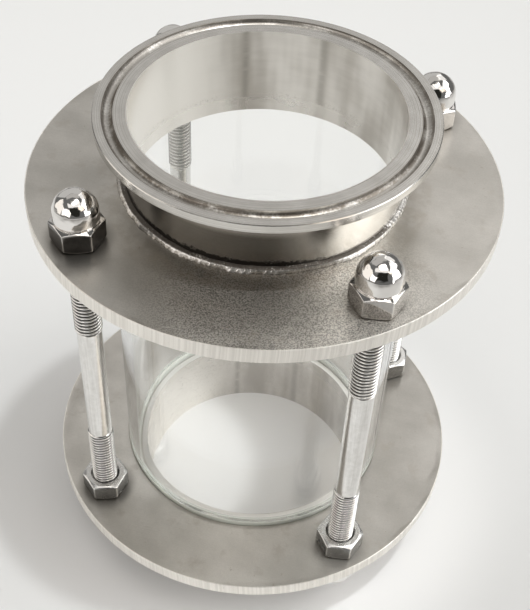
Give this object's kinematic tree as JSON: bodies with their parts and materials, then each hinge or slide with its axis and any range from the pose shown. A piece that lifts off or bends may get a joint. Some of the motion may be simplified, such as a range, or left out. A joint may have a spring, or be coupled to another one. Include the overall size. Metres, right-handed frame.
{
  "type": "clamp sight glass",
  "caption": "Short flow sight glass: clear glass tube clamped between round steel plates by tie rods, with a clamp ferrule welded to each plate.",
  "frame": {"origin": "centre of the lower ferrule's sealing face, on which the part stands", "axes": "+Z along the bore, up through both ports; the tie rods stand at 45 degrees between +X and +Y and every 90 degrees from there"},
  "size_m": [0.13, 0.13, 0.155],
  "materials": {
    "plate_steel": "fine bead-blasted stainless steel with a laser-cut edge",
    "ferrule_steel": "turned and polished stainless steel",
    "weld_metal": "as welded and brushed",
    "seal_rubber": "translucent white silicone rubber",
    "clear_glass": "clear borosilicate glass",
    "rod_steel": "bright drawn stainless steel with rolled threads",
    "nut_steel": "bright stainless steel",
    "polished_steel": "mirror-polished stainless steel"
  },
  "bodies": {
    "root": {"bottom_cap_nut_back_left": "polished_steel", "bottom_cap_nut_back_right": "polished_steel", "bottom_cap_nut_front_left": "polished_steel", "bottom_cap_nut_front_right": "polished_steel", "bottom_ferrule": "ferrule_steel", "bottom_plate": "plate_steel", "bottom_seal_ring": "seal_rubber", "bottom_weld_bead": "weld_metal", "glass_tube": "clear_glass", "hex_nut_back_left": "nut_steel", "hex_nut_back_right": "nut_steel", "hex_nut_front_left": "nut_steel", "hex_nut_front_right": "nut_steel", "tie_rod_back_left": "rod_steel", "tie_rod_back_right": "rod_steel", "tie_rod_front_left": "rod_steel", "tie_rod_front_right": "rod_steel", "top_cap_nut_back_left": "polished_steel", "top_cap_nut_back_right": "polished_steel", "top_cap_nut_front_left": "polished_steel", "top_cap_nut_front_right": "polished_steel", "top_ferrule": "ferrule_steel", "top_plate": "plate_steel", "top_seal_ring": "seal_rubber", "top_weld_bead": "weld_metal"}
  },
  "joints": []
}
